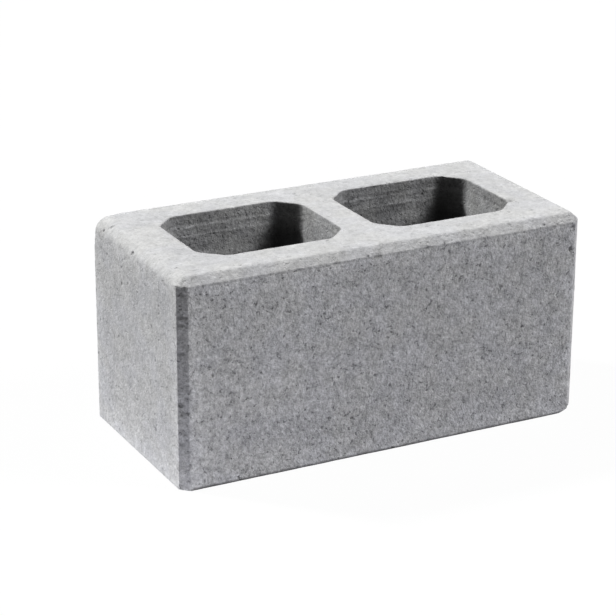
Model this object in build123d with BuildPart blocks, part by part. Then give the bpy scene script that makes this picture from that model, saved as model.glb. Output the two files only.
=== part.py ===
import os

from build123d import *

# Hollow concrete block in millimetres, as it stands: +X runs along the length, +Z is up,
# and the origin is the middle of the underside.
length = 390.0
width = 190.0
height = 190.0

# Wall thicknesses at the top face, where the cores are widest and the walls thinnest.
end_wall = 41.5
face_shell = 38.5
centre_web = 31.0

# The cores have 45 degree corners with blended ends, and narrow downwards so that the block
# strips from its mould.
core_corner = 19.0
core_blend = 14.0
core_draft_deg = 1.2

# 45 degree arris on the top edges and the upright edges. The underside stays sharp.
arris = 7.5

core_length = (length - 2 * end_wall - centre_web) / 2
core_width = width - 2 * face_shell
core_spacing = core_length + centre_web
top_plane = Plane.XY.offset(height)

with BuildPart() as block:
    with BuildSketch():
        Rectangle(length, width)
    extrude(amount=height)
    upright_edges = block.edges().filter_by(Axis.Z)
    top_edges = block.faces().sort_by(Axis.Z)[-1].edges()
    chamfer(upright_edges + top_edges, length=arris)

    # Both cores go right through. They are drawn at the top face, which keeps its size
    # when the walls below it are drafted.
    with BuildSketch(top_plane) as mouths:
        with GridLocations(core_spacing, 0, 2, 1):
            Rectangle(core_length, core_width)
        chamfer(mouths.vertices(), length=core_corner)
        fillet(mouths.vertices(), radius=core_blend)
    extrude(amount=-height, mode=Mode.SUBTRACT)
    cut_faces = block.faces(Select.LAST)
    core_walls = cut_faces - cut_faces.filter_by(Axis.Z)
    draft(core_walls, neutral_plane=top_plane, angle=core_draft_deg)

block.part.label = "concrete_block"
os.makedirs("parts", exist_ok=True)
export_step(block.part, "parts/concrete_block.step")
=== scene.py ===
import math
import random

import bmesh
import bpy
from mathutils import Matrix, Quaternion, Vector, kdtree, noise


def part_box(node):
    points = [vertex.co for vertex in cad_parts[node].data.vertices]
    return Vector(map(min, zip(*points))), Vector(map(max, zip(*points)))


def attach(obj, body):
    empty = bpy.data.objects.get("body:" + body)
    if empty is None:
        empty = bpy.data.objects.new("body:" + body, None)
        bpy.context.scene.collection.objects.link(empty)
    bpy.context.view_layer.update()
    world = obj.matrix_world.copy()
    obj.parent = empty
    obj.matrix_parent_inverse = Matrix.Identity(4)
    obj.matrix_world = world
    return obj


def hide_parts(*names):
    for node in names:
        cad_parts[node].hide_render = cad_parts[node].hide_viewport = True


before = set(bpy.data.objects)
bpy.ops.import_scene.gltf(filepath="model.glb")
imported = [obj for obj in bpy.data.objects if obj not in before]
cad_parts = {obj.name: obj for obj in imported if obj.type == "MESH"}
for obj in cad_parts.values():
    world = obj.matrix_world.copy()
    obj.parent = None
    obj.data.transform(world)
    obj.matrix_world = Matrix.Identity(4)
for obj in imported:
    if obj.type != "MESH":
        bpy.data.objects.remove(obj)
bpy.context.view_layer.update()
nodeName = "concrete_block"
low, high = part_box(nodeName)
print("frame loaded:", nodeName, [round(v, 4) for v in high - low])


# The block: the moulded solid as an even mesh, then worn, chipped and pitted. Metres.
blockShape = {
    "weld": 1e-6,             # corners of the solid's mesh that lie this near are one
    "gridDepth": 8,           # octree levels of the even mesh
    "gridScale": 0.5,         # with these, a cell is about 3 mm
    "arrisAngle": 30,         # degrees; sharper edges are arrises
    "coreReach": 0.0605,      # a wall that lies within this of the middle line is a core wall
    "smoothFactor": 0.5,
    "wearSize": 0.018,        # length of the more and less worn stretches
    "wearRounds": 2,
    "wearShare": 0.5,
    "wearSpread": 0.9,
    "softReach": (0.025, 0.019, 0.014),   # the left top arris is rubbed round, in steps
    "softRounds": 16,
    "footHeight": 0.001,      # the foot of the block is rubbed a little all round
    "footRounds": 2,
    "footCorner": (0.0165, 0.019, 0.0064),   # its right front corner is off: along, back, up
    "footCornerRounds": 2,
    "browReach": (0.0035, 0.0115),   # the upper edge of the top arris is a little round
    "browDrop": 0.004,
    "browRounds": 5,
    "waveSize": 0.05,         # slow unevenness of the faces
    "waveDepth": 0.0002,
    "grainSize": 0.0065,
    "grainDepth": 0.00012,
    "pitCount": 200,
    "pitSeed": 11,
    "pitRadius": (0.0008, 0.0017),
    "pitDepth": 0.75,         # depth as a share of the radius
    "pitReach": 0.0105,       # no pit or chip reaches further than this
    "pitRagged": 0.55,        # how far a pit's outline strays from round
    "pitRough": 0.8,
    "pitFine": (0.0034, 0.0026),     # the mesh is made finer this near to a pit
    "ridgeDrops": (0.012, 0.0205),   # mould marks on the core walls, below the top face
    "ridgeHalf": 0.0016,
    "ridgeBand": 3,           # faces within so many halves of a mark are cut along it
    "ridgeUpright": 0.5,
    "ridgeSnap": 1e-5,
    "ridgeHeight": 0.0007,
    "ridgeFacing": 0.9,       # only on walls that face the front or the back
    "ridgeBreak": 0.008,      # length of the breaks in them
    "ridgeShown": 0.65,
    "ridgeSway": 0.020,       # they rise and fall by this much over this length
    "ridgeRise": 0.0009,
    "flarePlaces": ((-0.0345, 0.0565), (0.1345, 0.0565)),   # where a corner with painted shade meets a long wall, a painted shadow spreads from here
    "flareReach": 0.022,
    "underFacing": -0.9,      # what faces further down is the underside
    "grainShadeTop": 0.52,          # how much grain and painted pore shade shows, partly for how open the surface is and partly as painted shade on sides in shade: pressed top, ends, faces, core walls
    "grainShadeEnd": 0.74,
    "grainShadeFront": 1.18,
    "grainShadeBack": 0.95,
    "grainShadeCore": 1.12,
    "grainShadeWeb": 0.85,          # the core walls that face along the block
    "webPaintedLight": 0.2,          # painted light: these are lighter by this share of the core's painted shade
    "leftPaintedLight": 0.20,        # painted light: and so is the whole left core
    "grainShadeArris": 0.8,         # share of that left on the top arrises
    "grainShadeUpright": 0.2,       # and added on the upright ones
    # painted highlight on the top arrises
    "arrisPaintedHighlight": 0.25,
    "edgeReach": 0.030,       # painted highlight: the faces are paler this near to their edges
    "topEven": 0.7,           # but not so on the top
    "ridgePaintedHighlight": 2.7,         # and the mould marks, as painted highlight, paler again
}

# Larger pits and chips: place on the block, radius, depth, and how much lower than wide.
marks = {
    "frontPitA": ((-0.1465, -0.095, 0.142), 0.0016, 0.0012, 1.0),
    "frontPitB": ((-0.1545, -0.095, 0.139), 0.0019, 0.0013, 1.0),
    "frontPitC": ((-0.141, -0.095, 0.108), 0.0017, 0.0015, 1.0),
    "frontPitD": ((-0.166, -0.095, 0.101), 0.0018, 0.0015, 1.0),
    "frontPitE": ((-0.085, -0.095, 0.0945), 0.0020, 0.0014, 1.0),
    "frontPitF": ((-0.062, -0.095, 0.138), 0.0022, 0.0015, 1.0),
    "frontPitG": ((-0.0125, -0.095, 0.073), 0.0020, 0.0014, 1.0),
    "frontPitH": ((-0.082, -0.095, 0.035), 0.0019, 0.0014, 1.0),
    "frontPitI": ((0.095, -0.095, 0.0695), 0.0021, 0.0014, 1.0),
    "frontPitJ": ((0.136, -0.095, 0.092), 0.0023, 0.0014, 1.0),
    "frontPitK": ((0.0585, -0.095, 0.1745), 0.0019, 0.0013, 1.0),
    "cornerChipA": ((0.185, -0.094, 0.177), 0.0034, 0.0022, 1.0),
    "cornerChipB": ((0.1835, -0.095, 0.158), 0.0030, 0.0022, 1.0),
    "leftPitA": ((-0.193, 0.0685, 0.1825), 0.0019, 0.0014, 1.0),
    "leftPitB": ((-0.1885, 0.061, 0.1875), 0.0026, 0.0009, 1.0),
    "leftPitC": ((-0.195, 0.004, 0.182), 0.0028, 0.0019, 1.0),
    "leftPitD": ((-0.195, 0.0265, 0.162), 0.0017, 0.0010, 1.0),
    "leftPitE": ((-0.195, 0.0265, 0.1475), 0.0014, 0.0010, 0.6),
    "leftPitF": ((-0.195, 0.0135, 0.1515), 0.0013, 0.0009, 0.6),
    "leftPitG": ((-0.195, -0.0515, 0.146), 0.0014, 0.0010, 1.0),
    "leftPitH": ((-0.195, -0.026, 0.1365), 0.0014, 0.0010, 1.0),
    "leftPitI": ((-0.195, -0.007, 0.1505), 0.0012, 0.0009, 1.0),
    "leftPitJ": ((-0.195, 0.058, 0.164), 0.0015, 0.0010, 1.0),
    "coreTipChip": ((0.1545, -0.0365, 0.1895), 0.0036, 0.0026, 1.0),
    "rimChipA": ((0.058, 0.057, 0.1895), 0.0026, 0.0010, 1.0),
    "rimChipB": ((0.0655, 0.057, 0.1895), 0.0044, 0.0008, 1.0),
    "rimChipC": ((0.083, 0.057, 0.1895), 0.0022, 0.0011, 1.0),
    "rimChipD": ((0.093, 0.057, 0.1895), 0.0052, 0.0009, 1.0),
    "rimChipE": ((0.1075, 0.057, 0.1895), 0.0030, 0.0012, 1.0),
    "seamTearA": ((-0.0115, -0.095, 0.1815), 0.0055, 0.0016, 2.6),
    "seamTearB": ((0.0365, -0.095, 0.1815), 0.0065, 0.0014, 3.0),
    "seamTearC": ((0.066, -0.095, 0.1795), 0.0055, 0.0011, 2.4),
    "seamTearD": ((-0.053, -0.095, 0.181), 0.0045, 0.0009, 2.6),
    "seamTearE": ((-0.087, -0.095, 0.181), 0.0050, 0.0009, 2.6),
    "bandTearA": ((-0.192, -0.0905, 0.1755), 0.0044, 0.0005, 2.0),
    "bandTearB": ((-0.1905, -0.092, 0.156), 0.0055, 0.0006, 2.6),
    "bandTearC": ((-0.192, -0.0905, 0.149), 0.0046, 0.0006, 2.2),
    "bandTearD": ((-0.1915, -0.091, 0.124), 0.0052, 0.0006, 2.6),
    "bandTearE": ((-0.1925, -0.09, 0.0775), 0.0034, 0.0005, 1.4),
    "bandTearF": ((-0.1915, -0.091, 0.0535), 0.0042, 0.0006, 1.2),
    "bandTearG": ((-0.1915, -0.091, 0.043), 0.0030, 0.0005, 1.2),
    "bandTearH": ((-0.1885, -0.094, 0.0715), 0.0024, 0.0005, 1.0),
}


def solidCopy(name):
    bm = bmesh.new()
    bm.from_mesh(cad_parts[nodeName].data)
    bmesh.ops.remove_doubles(bm, verts=bm.verts, dist=blockShape["weld"])
    mesh = bpy.data.meshes.new(name)
    bm.to_mesh(mesh)
    bm.free()
    piece = bpy.data.objects.new(name, mesh)
    bpy.context.scene.collection.objects.link(piece)
    return piece


def evenMesh(piece):
    remesh = piece.modifiers.new("even", "REMESH")
    remesh.mode = "SHARP"
    remesh.octree_depth = blockShape["gridDepth"]
    remesh.scale = blockShape["gridScale"]
    depsgraph = bpy.context.evaluated_depsgraph_get()
    fine = bpy.data.meshes.new_from_object(piece.evaluated_get(depsgraph))
    piece.modifiers.clear()
    old = piece.data
    piece.data = fine
    bpy.data.meshes.remove(old)


def arrisVerts(bm):
    limit = math.radians(blockShape["arrisAngle"])
    return {v for e in bm.edges if e.calc_face_angle(0) > limit for v in e.verts}


def refine(bm, faces):
    edges = list({e for f in faces for e in f.edges})
    bmesh.ops.subdivide_edges(bm, edges=edges, cuts=1, use_grid_fill=True, use_single_edge=True)


def nearMarks(bm, tree, reach):
    return [f for f in bm.faces if tree.find(f.calc_center_median())[2] < reach]


def inCore(v):
    reach = blockShape["coreReach"]
    return abs(v.co.y) < reach and abs(v.co.x) < high.x - (high.y - reach)


# The mould marks on the long core walls fade in and out: 1 is full.
def ridgeAt(v):
    s = blockShape
    if not inCore(v) or abs(v.normal.y) < s["ridgeFacing"]:
        return 0.0
    drop = high.z - v.co.z + noise.noise(v.co / s["ridgeSway"]) * s["ridgeRise"]
    away = min(abs(drop - ridge) for ridge in s["ridgeDrops"]) / s["ridgeHalf"]
    shown = s["ridgeShown"] + noise.noise(v.co / s["ridgeBreak"])
    return max(0.0, 1 - away) * min(1.0, max(0.0, shown))


# Notes for the material, on each vertex: how much grain and painted pore shade shows, how much
# painted shade a core wall gets, the painted shade in a corner of one and the painted shadow beside it,
# the painted highlight along edges and mould marks, and whether it can be seen as the block stands.
def markZones(bm):
    s = blockShape
    names = ("openGrainAndShade", "coreWall", "coreCorner", "coreShadowFlare", "paintedHighlight", "inSight")
    grain, wall, corner, flare, paintedHighlight, sight = (bm.verts.layers.float.new(name) for name in names)
    flareSpots = [Vector(place) for place in s["flarePlaces"]]
    bm.normal_update()
    for v in bm.verts:
        x, y, z = v.normal
        inside = inCore(v)
        upright = max(0.0, 1 - abs(z)) if inside else 0.0
        # painted light: walls facing along the block, and the left core, get less of the core's painted
        # shade
        paintedCoreLight = s["webPaintedLight"] * x ** 4 + (s["leftPaintedLight"] if v.co.x < 0 else 0.0)
        v[wall] = upright * (1 - paintedCoreLight)
        v[corner] = upright * min(1.0, max(0.0, 2 * x * y))   # painted shade in two of a core's four corners
        # painted shadow spreading along the long wall from the dark corner
        plan = v.co.xy if v.co.y > 0 else -v.co.xy
        v[flare] = upright * max(0.0, 1 - min((plan - f).length for f in flareSpots) / s["flareReach"])
        sloped = 0.0 if z < 0 else 4 * z * z * (1 - z * z)   # 1 on the 45 degree top arrises
        standing = 4 * x * x * y * y   # and on the upright ones
        v[sight] = 1.0 if z > s["underFacing"] else 0.0
        face = s["grainShadeFront"] if y < 0 else s["grainShadeBack"]
        outside = x * x * s["grainShadeEnd"] + y * y * face + z * z * s["grainShadeTop"]
        outside *= 1 + (s["grainShadeArris"] - 1) * sloped + s["grainShadeUpright"] * standing
        core = s["grainShadeWeb"] + (s["grainShadeCore"] - s["grainShadeWeb"]) * y * y
        v[grain] = outside + (core - outside) * upright
        fromSides = sorted([*(v.co - low), *(high - v.co)])   # its own face, then the nearest edge
        # painted highlight on the mould marks, and along the outer edges and top arrises
        if inside:
            v[paintedHighlight] = ridgeAt(v) * s["ridgePaintedHighlight"]
        else:
            v[paintedHighlight] = max(0.0, 1 - fromSides[1] / s["edgeReach"]) * (1 - s["topEven"] * z ** 4)
            v[paintedHighlight] += sloped * s["arrisPaintedHighlight"]


def smoothVerts(bm, verts, rounds):
    for step in range(rounds):
        bmesh.ops.smooth_vert(bm, verts=verts, factor=blockShape["smoothFactor"],
                              use_axis_x=True, use_axis_y=True, use_axis_z=True)


def wearArrises(bm):
    s = blockShape
    edgeVerts = arrisVerts(bm)
    for step in range(s["wearRounds"]):
        level = step / s["wearRounds"]
        worn = [v for v in edgeVerts
                if s["wearShare"] + noise.noise(v.co / s["wearSize"]) * s["wearSpread"] > level]
        smoothVerts(bm, worn, 1)


# The left top arris and the foot are rubbed rounder than the other edges.
def rubEdges(bm):
    s = blockShape
    for reach in s["softReach"]:
        rubbed = [v for v in bm.verts if v.co.x < low.x + reach and v.co.z > high.z - reach
                  and v.co.y > low.y + reach]
        smoothVerts(bm, rubbed, s["softRounds"])
    near, far = s["browReach"]
    brow = [v for v in bm.verts if v.co.z > high.z - s["browDrop"]
            and near < min(*(v.co - low).xy, *(high - v.co).xy) < far]
    smoothVerts(bm, brow, s["browRounds"])
    foot = [v for v in arrisVerts(bm) if v.co.z < low.z + s["footHeight"]]
    smoothVerts(bm, foot, s["footRounds"])


# Rubs one corner of the foot down to a slanting flat.
def rubFootCorner(bm):
    s = blockShape
    along, back, up = s["footCorner"]
    corner = Vector((high.x, low.y, low.z))
    inward = Vector((-1 / along, 1 / back, 1 / up))
    rubbed = []
    for v in bm.verts:
        short = 1 - inward.dot(v.co - corner)
        if short > 0:
            v.co += inward * short / inward.length_squared
            rubbed.append(v)
    around = {v for r in rubbed for f in r.link_faces for v in f.verts}
    smoothVerts(bm, list(around), s["footCornerRounds"])


# Cuts rows of edges into the core walls, along the mould marks.
def cutRidges(bm):
    s = blockShape
    for drop in s["ridgeDrops"]:
        for shift in (-s["ridgeHalf"], 0.0, s["ridgeHalf"]):
            z = high.z - drop + shift
            faces = [f for f in bm.faces
                     if abs(f.calc_center_median().z - z) < s["ridgeHalf"] * s["ridgeBand"]
                     and abs(f.normal.z) < s["ridgeUpright"] and all(inCore(v) for v in f.verts)]
            edges = {e for f in faces for e in f.edges}
            verts = {v for f in faces for v in f.verts}
            bmesh.ops.bisect_plane(bm, geom=[*faces, *edges, *verts], dist=s["ridgeSnap"],
                                   plane_co=(0, 0, z), plane_no=(0, 0, 1))


def scatterPits(bm):
    s = blockShape
    rng = random.Random(s["pitSeed"])
    faces = bm.faces[:]
    chosen = rng.choices(faces, weights=[f.calc_area() for f in faces], k=s["pitCount"])
    pits = []
    for f in chosen:
        radius = rng.uniform(*s["pitRadius"])
        pits.append((f.calc_center_median(), radius, radius * s["pitDepth"], 1.0))
    return pits


def pitTree(pits):
    tree = kdtree.KDTree(len(pits))
    for i, pit in enumerate(pits):
        tree.insert(pit[0], i)
    tree.balance()
    return tree


def unitNoise(place):
    return 0.5 + 0.5 * noise.noise(place)


# How far the surface sinks at a point for its unevenness and grain, less the mould marks.
def unevenAt(v):
    s = blockShape
    wave = unitNoise(v.co / s["waveSize"])
    grain = unitNoise(v.co / s["grainSize"])
    return wave * s["waveDepth"] + grain * s["grainDepth"] - ridgeAt(v) * s["ridgeHeight"]


# The pits that a point lies in: 1 at the middle of a pit, 0 at its ragged edge.
def pitsAt(v, pits, tree):
    s = blockShape
    found = []
    for place, i, distance in tree.find_range(v.co, s["pitReach"]):
        centre, radius, depth, flat = pits[i]
        offset = v.co - centre
        offset.z *= flat
        ragged = radius * (1 + s["pitRagged"] * noise.noise(v.co / (radius * s["pitRough"])))
        share = 1 - (offset.length / ragged) ** 2
        if share > 0:
            found.append((i, share))
    return found


# Each pit sinks one way, which is across the edge for a chip out of an edge.
def sinkSurface(bm, pits, tree):
    cavity = bm.verts.layers.float.new("cavity")
    bm.normal_update()
    found = [pitsAt(v, pits, tree) for v in bm.verts]
    ways = [Vector() for pit in pits]
    for v, inPits in zip(bm.verts, found):
        for i, share in inPits:
            ways[i] += v.normal * share
    for way in ways:
        way.normalize()
    moves = [v.normal * unevenAt(v) for v in bm.verts]
    for v, move, inPits in zip(bm.verts, moves, found):
        for i, share in inPits:
            move += ways[i] * pits[i][2] * share
        v.co -= move
        v[cavity] = max([share for i, share in inPits], default=0.0)


def makeBlock():
    piece = solidCopy("concreteBlock")
    evenMesh(piece)
    bm = bmesh.new()
    bm.from_mesh(piece.data)
    arris = arrisVerts(bm)
    refine(bm, {f for v in arris for f in v.link_faces})
    bm.normal_update()
    cutRidges(bm)
    wearArrises(bm)
    rubEdges(bm)
    rubFootCorner(bm)
    markZones(bm)
    pits = [(Vector(place), radius, depth, flat) for place, radius, depth, flat in marks.values()]
    pits += scatterPits(bm)
    tree = pitTree(pits)
    for reach in blockShape["pitFine"]:
        refine(bm, nearMarks(bm, tree, reach))
    bmesh.ops.triangulate(bm, faces=[f for f in bm.faces if len(f.verts) > 4])
    sinkSurface(bm, pits, tree)
    bm.to_mesh(piece.data)
    bm.free()
    piece.data.polygons.foreach_set("use_smooth", [True] * len(piece.data.polygons))
    piece.data.update()
    triangles = sum(len(p.vertices) - 2 for p in piece.data.polygons)
    print("block:", len(piece.data.vertices), "vertices", triangles, "triangles")
    return piece


block = makeBlock()


# Each noise has a scale, a detail and a roughness.
concrete = {
    "warm": (0.486, 0.487, 0.482, 1.0),
    "cool": (0.475, 0.478, 0.484, 1.0),
    "tintNoise": (34.0, 2, 0.5),
    "tintSpan": (0.4, 0.6),
    "noiseSpan": (0.3, 0.7),  # the part of its range that a noise mostly keeps to
    "patchNoise": (18.0, 3, 0.5),     # slow changes of tone
    "patchShare": 0.04,
    "clumpNoise": (75.0, 2, 0.5),
    "clumpShare": 0.09,
    "mottleNoise": (160.0, 2, 0.5),
    "mottleShare": 0.17,
    "sandNoise": (360.0, 2, 0.6),     # clumps of sand
    "sandShare": 0.15,
    "grainScale": 900.0,      # single grains
    "grainShare": 0.12,
    "poreNoise": (250.0, 2.5, 0.6),   # open pores between the grains
    "poreLevels": (0.40, 0.30),
    # painted shade in the pores
    "porePaintedShade": 0.36,
    "speckLevels": (0.62, 0.70),
    "speckLight": 0.14,       # pale bits of stone
    # painted shade in the pits
    "pitPaintedShade": 0.28,
    "paintedHighlightLevel": 1.20,        # painted highlight along the edges and on the mould marks
    "seamDrop": 0.0088,       # fine dark line under the top arris, away from the left end
    "seamHalf": 0.0014,
    "seamShade": 0.77,
    "coreShade": 0.58,        # painted shade: the core walls are darker, more so far in and in the corners
    "coreDrop": (0.035, 0.10),
    "coreDeep": 0.5,
    # painted shade in two corners of each core
    "cornerStart": 0.15,
    "cornerShade": (0.46, 0.10),   # at the mouth, and this far in
    "cornerDrop": 0.034,
    # painted shadow beside two corners of each core, darker further in
    "flareDrop": (0.010, 0.035),
    "flareShade": 0.06,
    "streakScale": (30.0, 30.0, 120.0),   # uneven rows that the mould drew along the core walls
    "streakNoise": (1.0, 3, 0.5),
    "streakShare": 0.33,
    "footRise": (0.0014, 0.0033),   # painted contact shadow: a dark line along the foot, away from the left end
    "footShade": 0.35,
    "footInset": (0.006, 0.011),
    "bumpHeight": 0.0011,
    "poreSink": 0.4,
    "roughness": (0.86, 0.98),
    "specular": 0.3,
}


# Small helpers for node trees: a value is either a number or a socket to link.
def feed(tree, value, socket):
    if isinstance(value, bpy.types.NodeSocket):
        tree.links.new(value, socket)
    else:
        socket.default_value = value


def calc(tree, operation, a, b, clamp=False):
    node = tree.nodes.new("ShaderNodeMath")
    node.operation = operation
    node.use_clamp = clamp
    feed(tree, a, node.inputs[0])
    feed(tree, b, node.inputs[1])
    return node.outputs[0]


def fitRange(tree, value, fromMin, fromMax, toMin, toMax):
    node = tree.nodes.new("ShaderNodeMapRange")
    feed(tree, value, node.inputs["Value"])
    feed(tree, fromMin, node.inputs["From Min"])
    feed(tree, fromMax, node.inputs["From Max"])
    feed(tree, toMin, node.inputs["To Min"])
    feed(tree, toMax, node.inputs["To Max"])
    return node.outputs["Result"]


def noiseTexture(tree, coords, scale, detail, roughness):
    node = tree.nodes.new("ShaderNodeTexNoise")
    tree.links.new(coords, node.inputs["Vector"])
    node.inputs["Scale"].default_value = scale
    node.inputs["Detail"].default_value = detail
    node.inputs["Roughness"].default_value = roughness
    return node.outputs["Fac"]


def mixColour(tree, factor, a, b, blend="MIX"):
    node = tree.nodes.new("ShaderNodeMix")
    node.data_type = "RGBA"
    node.blend_type = blend
    feed(tree, factor, node.inputs["Factor"])
    feed(tree, a, node.inputs[6])   # 6, 7 and 2 are the colour sockets
    feed(tree, b, node.inputs[7])
    return node.outputs[2]


def meshValue(tree, name):
    node = tree.nodes.new("ShaderNodeAttribute")
    node.attribute_name = name
    return node.outputs["Fac"]


# Grains with a tone each.
def grainTexture(tree, coords, scale):
    cells = tree.nodes.new("ShaderNodeTexVoronoi")
    tree.links.new(coords, cells.inputs["Vector"])
    cells.inputs["Scale"].default_value = scale
    split = tree.nodes.new("ShaderNodeSeparateColor")
    tree.links.new(cells.outputs["Color"], split.inputs[0])
    return split.outputs[0]


# Painted contact shadow at the foot and a dark line under the top arris, but none on the left end or the
# underside.
def lineTone(tree, coords):
    s = concrete
    split = tree.nodes.new("ShaderNodeSeparateXYZ")
    tree.links.new(coords, split.inputs[0])
    foot = fitRange(tree, split.outputs["Z"], *s["footRise"], s["footShade"], 1)
    away = calc(tree, "ABSOLUTE", calc(tree, "SUBTRACT", split.outputs["Z"], high.z - s["seamDrop"]), 0)
    seam = fitRange(tree, away, 0, s["seamHalf"], s["seamShade"], 1)
    start, end = s["footInset"]
    clear = fitRange(tree, split.outputs["X"], low.x + start, low.x + end, 0, 1)
    clear = calc(tree, "MULTIPLY", clear, meshValue(tree, "inSight"))
    return fitRange(tree, clear, 0, 1, 1, calc(tree, "MULTIPLY", foot, seam))


# Painted shade on the core walls: coreShade at both mouths, darker far in, in two corners and in a
# painted shadow beside them.
def coreTone(tree, coords):
    s = concrete
    split = tree.nodes.new("ShaderNodeSeparateXYZ")
    tree.links.new(coords, split.inputs[0])
    fromTop = calc(tree, "SUBTRACT", high.z, split.outputs["Z"])
    drop = calc(tree, "MINIMUM", fromTop, calc(tree, "SUBTRACT", split.outputs["Z"], low.z))
    deep = fitRange(tree, drop, *s["coreDrop"], s["coreShade"], s["coreShade"] * s["coreDeep"])
    wall = fitRange(tree, meshValue(tree, "coreWall"), 0, 1, 1, deep)
    dark = fitRange(tree, drop, 0, s["cornerDrop"], *s["cornerShade"])
    corner = fitRange(tree, meshValue(tree, "coreCorner"), s["cornerStart"], 1, 1, dark)
    # painted shadow beside the dark corners, stronger further in
    shade = fitRange(tree, drop, *s["flareDrop"], 1, s["flareShade"])
    corner = calc(tree, "MULTIPLY", corner, fitRange(tree, meshValue(tree, "coreShadowFlare"), 0, 1, 1, shade))
    stretch = tree.nodes.new("ShaderNodeMapping")
    stretch.inputs["Scale"].default_value = s["streakScale"]
    tree.links.new(coords, stretch.inputs["Vector"])
    streak = noiseTexture(tree, stretch.outputs["Vector"], *s["streakNoise"])
    streak = fitRange(tree, streak, *s["noiseSpan"], -s["streakShare"], s["streakShare"])
    streak = calc(tree, "ADD", calc(tree, "MULTIPLY", streak, meshValue(tree, "coreWall")), 1)
    return calc(tree, "MULTIPLY", calc(tree, "MULTIPLY", wall, corner), streak)


def concreteMaterial():
    s = concrete
    material = bpy.data.materials.new("castConcrete")
    material.use_nodes = True
    tree = material.node_tree
    shader = tree.nodes["Principled BSDF"]
    coords = tree.nodes.new("ShaderNodeTexCoord").outputs["Object"]

    patch = noiseTexture(tree, coords, *s["patchNoise"])
    clump = noiseTexture(tree, coords, *s["clumpNoise"])
    mottle = noiseTexture(tree, coords, *s["mottleNoise"])
    sand = noiseTexture(tree, coords, *s["sandNoise"])
    grain = grainTexture(tree, coords, s["grainScale"])
    voids = noiseTexture(tree, coords, *s["poreNoise"])
    pore = fitRange(tree, voids, *s["poreLevels"], 0, 1)
    speck = fitRange(tree, voids, *s["speckLevels"], 0, 1)

    # Grain, pores and specks show more where the surface is more open; the pores are painted shade, and
    # they show more on the sides that lie in shade.
    fine = fitRange(tree, grain, 0, 1, -s["grainShare"], s["grainShare"])
    for value, name in ((sand, "sandShare"), (mottle, "mottleShare"), (clump, "clumpShare")):
        fine = calc(tree, "ADD", fine, fitRange(tree, value, *s["noiseSpan"], -s[name], s[name]))
    fine = calc(tree, "SUBTRACT", fine, calc(tree, "MULTIPLY", pore, s["porePaintedShade"]))
    fine = calc(tree, "ADD", fine, calc(tree, "MULTIPLY", speck, s["speckLight"]))
    openGrainAndShade = meshValue(tree, "openGrainAndShade")
    tone = calc(tree, "ADD", calc(tree, "MULTIPLY", fine, openGrainAndShade), 1.0)
    slow = fitRange(tree, patch, *s["noiseSpan"], 1 - s["patchShare"], 1 + s["patchShare"])
    # Painted shade in the pits.
    paintedPitShade = fitRange(tree, meshValue(tree, "cavity"), 0, 1, 1, 1 - s["pitPaintedShade"])
    # Painted highlight along the edges and on the mould marks.
    paintedHighlight = calc(tree, "ADD", calc(tree, "MULTIPLY", meshValue(tree, "paintedHighlight"), s["paintedHighlightLevel"] - 1), 1)
    for value in (slow, paintedPitShade, paintedHighlight, lineTone(tree, coords), coreTone(tree, coords)):
        tone = calc(tree, "MULTIPLY", tone, value)

    tint = noiseTexture(tree, coords, *s["tintNoise"])
    colour = mixColour(tree, fitRange(tree, tint, *s["tintSpan"], 0, 1), s["warm"], s["cool"])
    tree.links.new(mixColour(tree, 1.0, colour, tone, "MULTIPLY"), shader.inputs["Base Color"])

    height = calc(tree, "SUBTRACT", sand, calc(tree, "MULTIPLY", pore, s["poreSink"]))
    height = calc(tree, "MULTIPLY", height, openGrainAndShade)
    bump = tree.nodes.new("ShaderNodeBump")
    bump.inputs["Distance"].default_value = s["bumpHeight"]
    tree.links.new(height, bump.inputs["Height"])
    tree.links.new(bump.outputs[0], shader.inputs["Normal"])
    tree.links.new(fitRange(tree, sand, *s["noiseSpan"], *s["roughness"]), shader.inputs["Roughness"])
    shader.inputs["Specular IOR Level"].default_value = s["specular"]
    return material


block.data.materials.clear()
block.data.materials.append(concreteMaterial())
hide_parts(nodeName)
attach(block, "root")
print("concrete ready")


# Floor, lamps and camera.
stage = {
    "floorSize": 12.0,
    "floorBounce": (0.74, 0.74, 0.80, 1.0),   # what the floor near the block gives back to it
    "floorFar": (0.08, 0.08, 0.08, 1.0),
    "floorReach": (0.3, 0.6),
    "floorShown": (0.85, 0.85, 0.85, 1.0),
    "floorWhite": 0.97,
    "shadeInset": (0.020, 0.015),   # seen through the block the floor lies in its shadow
    "shadeWhite": 0.30,
    "worldLight": 0.04,
}


def cameraRays(tree):
    path = tree.nodes.new("ShaderNodeLightPath")
    seen = calc(tree, "MAXIMUM", path.outputs["Is Camera Ray"], path.outputs["Is Glossy Ray"])
    return calc(tree, "MAXIMUM", seen, path.outputs["Is Transmission Ray"])


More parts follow.
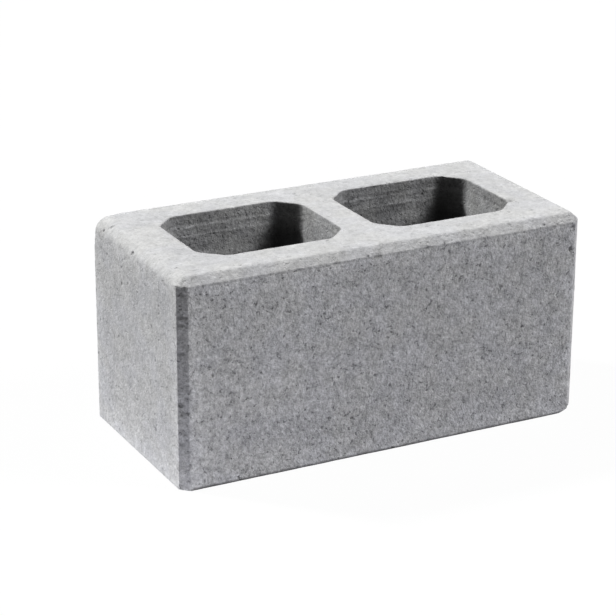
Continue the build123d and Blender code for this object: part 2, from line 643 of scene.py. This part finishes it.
# White paper to the camera, which gives the block a soft light only from near by.
def paperMaterial():
    material = bpy.data.materials.new("palePaper")
    material.use_nodes = True
    tree = material.node_tree
    tree.nodes.clear()
    seen = cameraRays(tree)
    paper = tree.nodes.new("ShaderNodeBsdfDiffuse")
    length = tree.nodes.new("ShaderNodeVectorMath")
    length.operation = "LENGTH"
    coords = tree.nodes.new("ShaderNodeTexCoord").outputs["Object"]
    tree.links.new(coords, length.inputs[0])
    split = tree.nodes.new("ShaderNodeSeparateXYZ")
    tree.links.new(coords, split.inputs[0])
    under = 1.0
    for axis, reach in (("X", high.x), ("Y", high.y)):
        place = calc(tree, "ABSOLUTE", split.outputs[axis], 0)
        inner, outer = (reach - inset for inset in stage["shadeInset"])
        under = calc(tree, "MULTIPLY", fitRange(tree, place, inner, outer, 1, 0), under)
    away = fitRange(tree, length.outputs["Value"], *stage["floorReach"], 0, 1)
    bounce = mixColour(tree, away, stage["floorBounce"], stage["floorFar"])
    tree.links.new(mixColour(tree, seen, bounce, stage["floorShown"]), paper.inputs["Color"])
    white = tree.nodes.new("ShaderNodeEmission")
    mix = tree.nodes.new("ShaderNodeMixShader")
    whiteShare = calc(tree, "MULTIPLY", seen, fitRange(tree, under, 0, 1, stage["floorWhite"],
                                                        stage["shadeWhite"]))
    tree.links.new(whiteShare, mix.inputs["Fac"])
    tree.links.new(paper.outputs[0], mix.inputs[1])
    tree.links.new(white.outputs[0], mix.inputs[2])
    out = tree.nodes.new("ShaderNodeOutputMaterial")
    tree.links.new(mix.outputs[0], out.inputs["Surface"])
    return material


def makeFloor():
    bm = bmesh.new()
    bmesh.ops.create_grid(bm, x_segments=2, y_segments=2, size=stage["floorSize"] / 2)
    mesh = bpy.data.meshes.new("floor")
    bm.to_mesh(mesh)
    bm.free()
    mesh.materials.append(paperMaterial())
    floor = bpy.data.objects.new("floor", mesh)
    bpy.context.scene.collection.objects.link(floor)


def makeWorld():
    world = bpy.data.worlds.new("room")
    bpy.context.scene.world = world
    world.use_nodes = True
    tree = world.node_tree
    back = tree.nodes["Background"]
    back.inputs["Color"].default_value = (1, 1, 1, 1)
    level = fitRange(tree, cameraRays(tree), 0, 1, stage["worldLight"], 1.0)
    tree.links.new(level, back.inputs["Strength"])


lamps = {
    "keyLamp": {"towards": (-0.73, 0.78, 1.08), "level": 1.23, "spread": 6, "colour": (1, 1, 1)},
    "fillLamp": {"towards": (0.5, -0.36, 0.55), "level": 0.67, "spread": 16, "colour": (0.985, 0.98, 1)},
}


def makeLamps():
    for name, s in lamps.items():
        data = bpy.data.lights.new(name, "SUN")
        data.energy = s["level"] * math.pi
        data.angle = math.radians(s["spread"])
        data.color = s["colour"]
        lamp = bpy.data.objects.new(name, data)
        lamp.rotation_euler = Vector(s["towards"]).to_track_quat("Z", "Y").to_euler()
        bpy.context.scene.collection.objects.link(lamp)


cameraSetup = {
    "place": (-0.8907, -1.6672, 0.8149),
    "look": (0.4297, 0.8309, -0.3534),
    "roll": 0.26,
    "lens": 132.25,
    "sensor": 36.0,
}


def makeCamera():
    s = cameraSetup
    data = bpy.data.cameras.new("camera")
    data.lens = s["lens"]
    data.sensor_width = s["sensor"]
    camera = bpy.data.objects.new("camera", data)
    camera.location = s["place"]
    aim = Vector(s["look"]).to_track_quat("-Z", "Y")
    roll = Quaternion((0, 0, 1), math.radians(s["roll"]))
    camera.rotation_euler = (aim @ roll).to_euler()
    bpy.context.scene.collection.objects.link(camera)
    bpy.context.scene.camera = camera


makeFloor()
makeWorld()
makeLamps()
makeCamera()
bpy.context.scene.view_settings.view_transform = "Standard"
print("stage ready")
